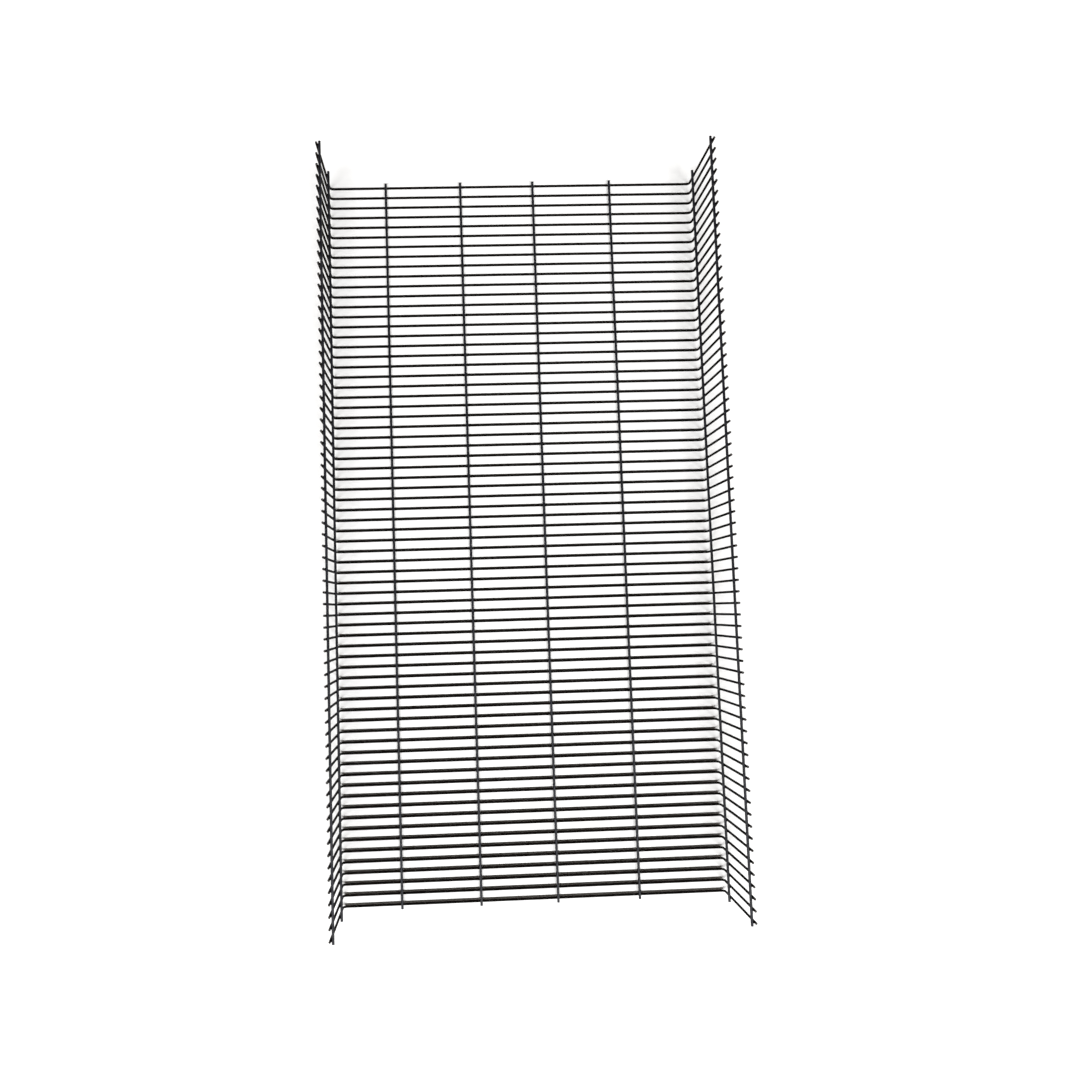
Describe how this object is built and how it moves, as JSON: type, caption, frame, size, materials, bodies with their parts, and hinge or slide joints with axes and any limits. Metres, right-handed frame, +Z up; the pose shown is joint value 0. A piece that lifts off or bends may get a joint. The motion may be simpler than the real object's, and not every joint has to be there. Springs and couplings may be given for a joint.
{
  "type": "welded wire cage panel",
  "caption": "Black welded-wire cage panel for small livestock: close cross wires bent up at both ends into two low side walls, on long straight line wires.",
  "frame": {"origin": "middle of the underside: half way along the panel and half way between the outsides of its walls, on the surface it stands on", "axes": "+Y along the panel and its line wires, +X across it along the cross wires, +Z up from the floor to the tips of the walls"},
  "size_m": [0.4572, 0.8852, 0.109],
  "materials": {
    "cross_wire": "satin black coat on steel wire",
    "line_wire": "satin black coat on steel wire, a little glossier than the cross wires"
  },
  "bodies": {
    "root": {"cross_wire_01": "cross_wire", "cross_wire_02": "cross_wire", "cross_wire_03": "cross_wire", "cross_wire_05": "cross_wire", "cross_wire_06": "cross_wire", "cross_wire_07": "cross_wire", "cross_wire_09": "cross_wire", "cross_wire_10": "cross_wire", "cross_wire_11": "cross_wire", "cross_wire_13": "cross_wire", "cross_wire_14": "cross_wire", "cross_wire_15": "cross_wire", "cross_wire_17": "cross_wire", "cross_wire_18": "cross_wire", "cross_wire_19": "cross_wire", "cross_wire_21": "cross_wire", "cross_wire_22": "cross_wire", "cross_wire_23": "cross_wire", "cross_wire_25": "cross_wire", "cross_wire_26": "cross_wire", "cross_wire_27": "cross_wire", "cross_wire_29": "cross_wire", "cross_wire_30": "cross_wire", "cross_wire_31": "cross_wire", "cross_wire_33": "cross_wire", "cross_wire_34": "cross_wire", "cross_wire_36": "cross_wire", "cross_wire_37": "cross_wire", "cross_wire_38": "cross_wire", "cross_wire_40": "cross_wire", "cross_wire_41": "cross_wire", "cross_wire_42": "cross_wire", "cross_wire_44": "cross_wire", "cross_wire_45": "cross_wire", "cross_wire_46": "cross_wire", "cross_wire_48": "cross_wire", "cross_wire_49": "cross_wire", "cross_wire_50": "cross_wire", "cross_wire_52": "cross_wire", "cross_wire_53": "cross_wire", "cross_wire_54": "cross_wire", "cross_wire_56": "cross_wire", "cross_wire_57": "cross_wire", "cross_wire_58": "cross_wire", "cross_wire_60": "cross_wire", "cross_wire_61": "cross_wire", "cross_wire_62": "cross_wire", "cross_wire_64": "cross_wire", "cross_wire_65": "cross_wire", "cross_wire_66": "cross_wire", "cross_wire_68": "cross_wire", "cross_wire_69": "cross_wire", "floor_line_wire_1": "line_wire", "floor_line_wire_2": "line_wire", "floor_line_wire_3": "line_wire", "floor_line_wire_4": "line_wire", "left_low_line_wire": "line_wire", "left_rim_line_wire": "line_wire", "right_low_line_wire": "line_wire", "right_rim_line_wire": "line_wire"}
  },
  "joints": []
}
